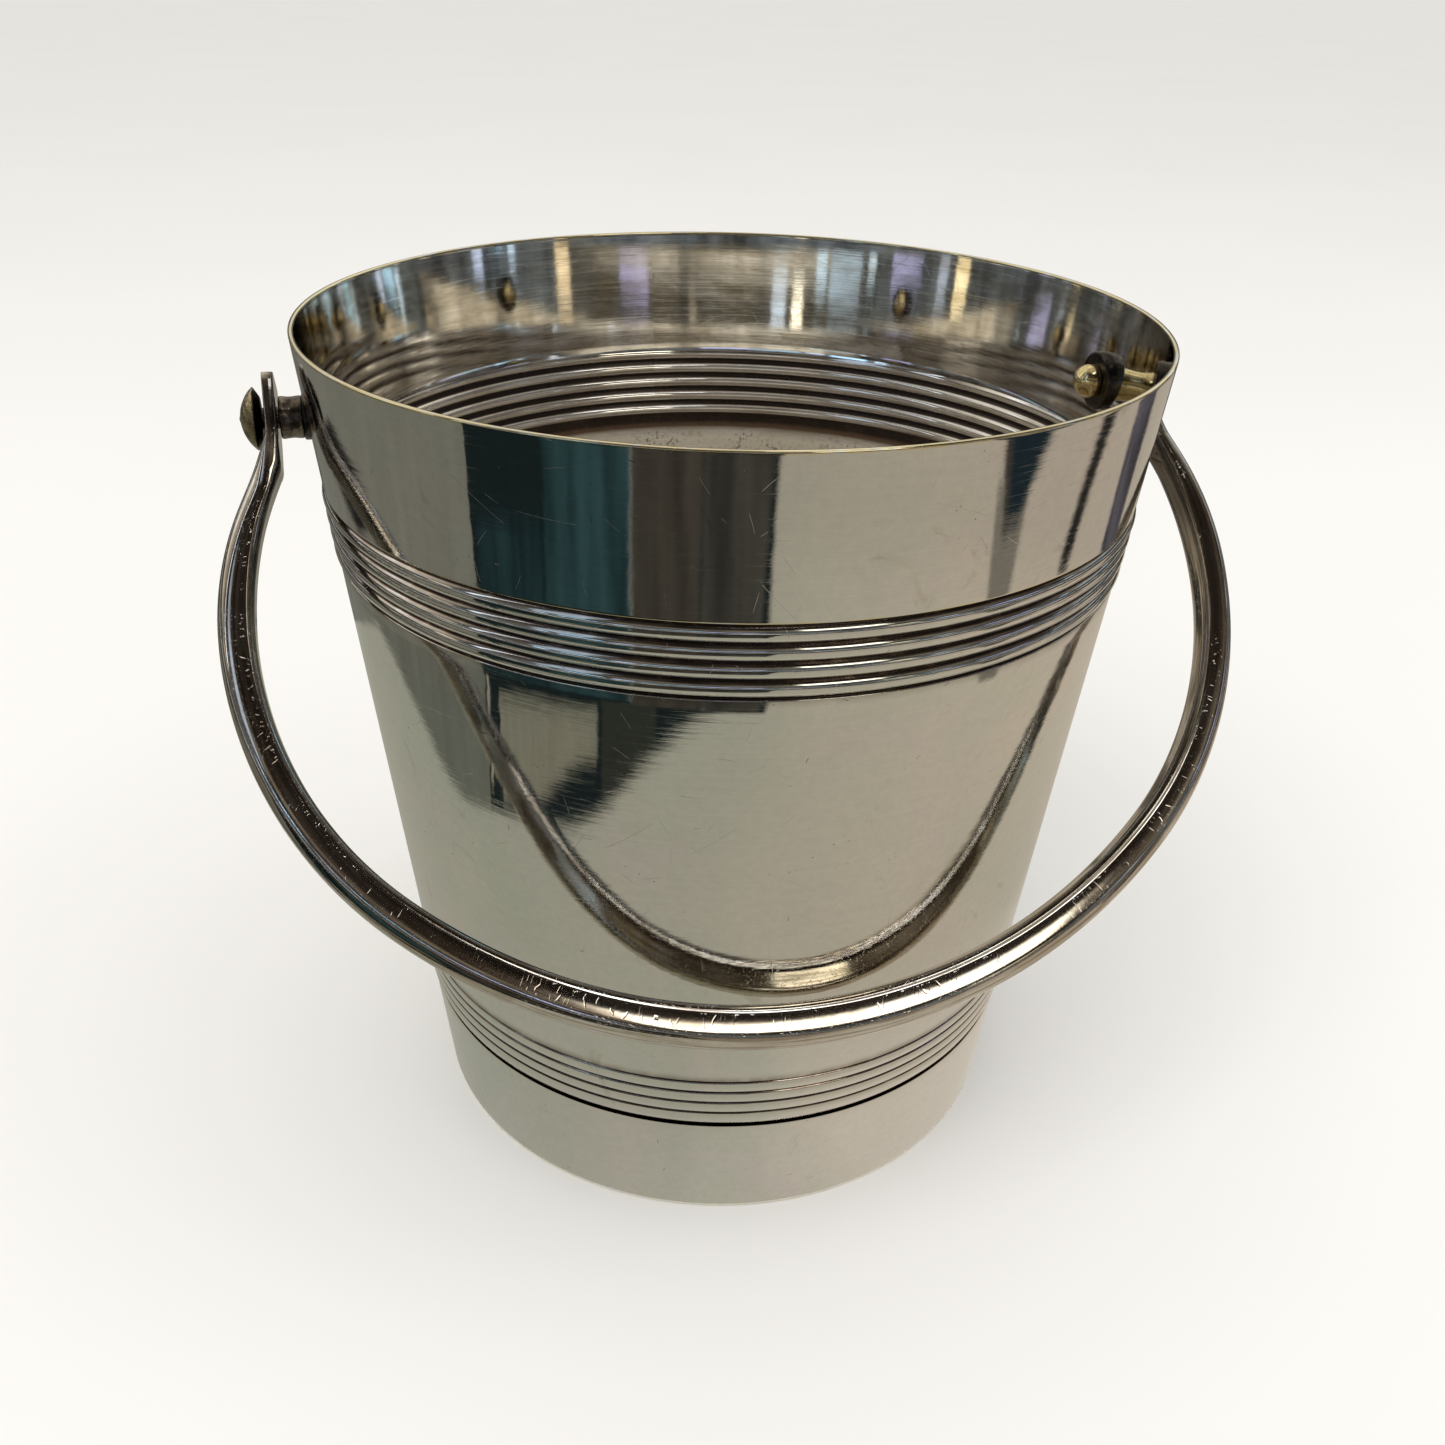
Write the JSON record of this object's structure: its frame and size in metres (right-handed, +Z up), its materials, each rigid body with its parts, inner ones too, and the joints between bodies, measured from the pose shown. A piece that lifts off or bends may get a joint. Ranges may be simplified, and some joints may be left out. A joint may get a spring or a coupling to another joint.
{
  "type": "champagne bucket",
  "caption": "Tapered round champagne bucket in polished silver plate, with two reeded bands, a plain foot ring and a swing handle that hangs on side pivots.",
  "frame": {"origin": "centre of the foot ring's underside, on the table", "axes": "+Z up along the bucket's axis; +X along the handle's pivot axis, to the right when the resting handle faces the viewer; the handle rests on the -Y side"},
  "size_m": [0.2412, 0.1998, 0.207],
  "materials": {
    "silver_body": "mirror-polished silver plate, worn and lightly scratched",
    "silver_foot": "mirror-polished silver plate, worn",
    "silver_handle": "polished silver plate with brown tarnish and many fine scratches",
    "worn_brass": "dull worn brass",
    "dark_collar": "dark tarnished metal",
    "dark_washer": "nearly black tarnished metal",
    "bright_brass": "polished brass"
  },
  "bodies": {
    "bucket": {"bucket_shell": "silver_body", "foot_ring": "silver_foot", "pivot_pin_left": "worn_brass", "collar_left": "dark_collar", "outer_washer_left": "dark_washer", "inner_washer_left": "dark_washer", "dome_nut_left": "bright_brass", "pivot_pin_right": "worn_brass", "collar_right": "dark_collar", "outer_washer_right": "dark_washer", "inner_washer_right": "dark_washer", "dome_nut_right": "bright_brass"},
    "handle": {"bail_handle": "silver_handle"}
  },
  "joints": [
    {"name": "handle_swing", "type": "hinge", "parent": "bucket", "child": "handle", "pos_m": [0, 0, 0.187], "axis": [-1, 0, 0], "range_deg": [0, 282]}
  ]
}
